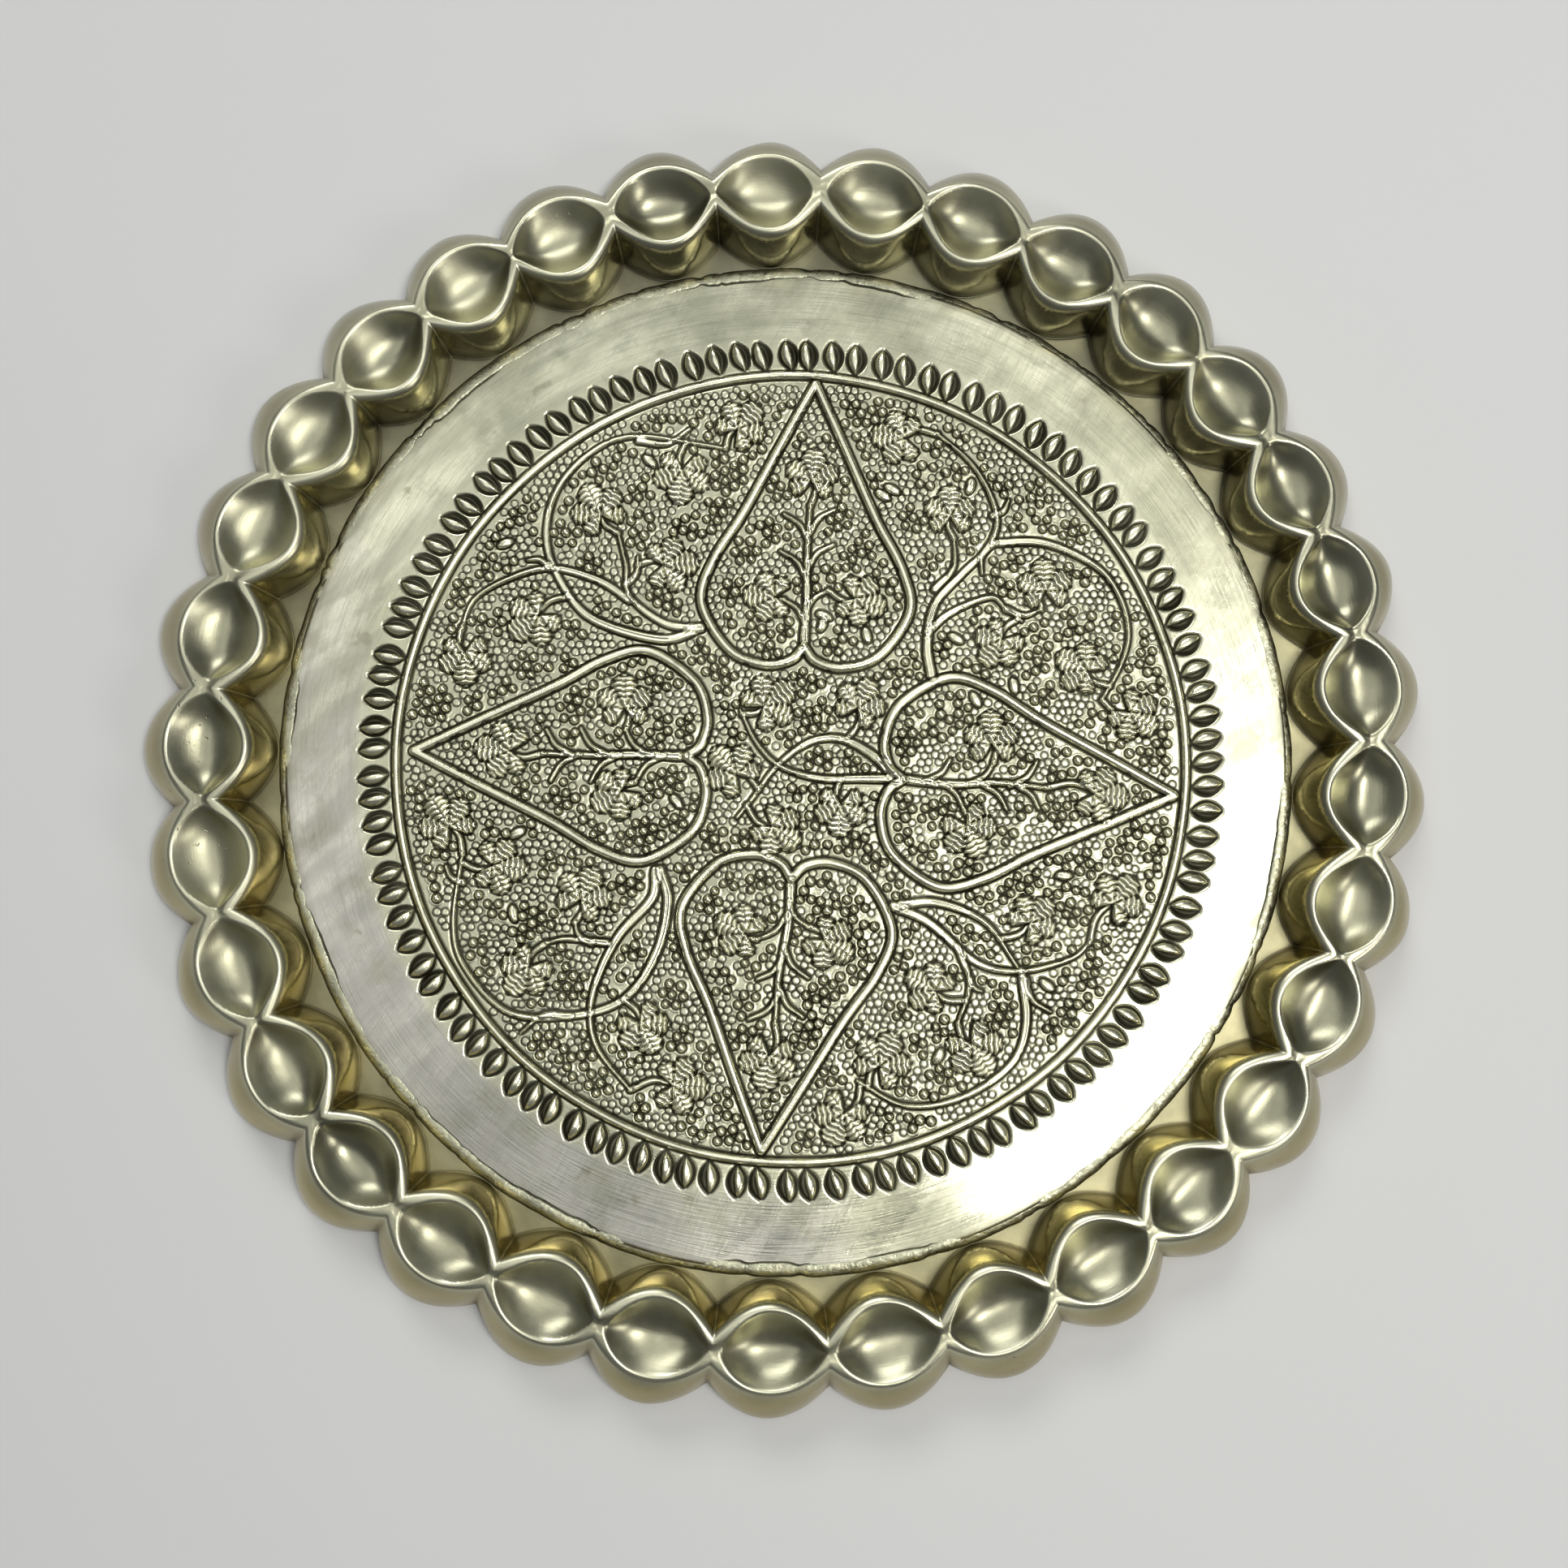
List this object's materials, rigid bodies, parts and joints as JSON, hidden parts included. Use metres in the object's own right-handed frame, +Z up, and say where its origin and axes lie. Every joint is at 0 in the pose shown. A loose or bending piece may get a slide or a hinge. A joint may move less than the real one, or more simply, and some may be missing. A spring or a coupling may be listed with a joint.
{
  "type": "brass tray",
  "caption": "Round serving tray of sheet brass with a raised rim of hollow rounded lobes, each topped by a small dished bowl, and a flat floor with a chased floral medallion.",
  "frame": {"origin": "centre of the rim, on the surface the tray stands on", "axes": "+Z up out of the well; +Y towards the medallion's top heart, +X towards its right heart"},
  "size_m": [0.3207, 0.3208, 0.016],
  "materials": {
    "plate_brass": "satin",
    "rim_brass": "aged",
    "solder": "rough"
  },
  "bodies": {
    "root": {"centre_plate": "plate_brass", "scalloped_rim": "rim_brass", "solder_seam": "solder"}
  },
  "joints": []
}
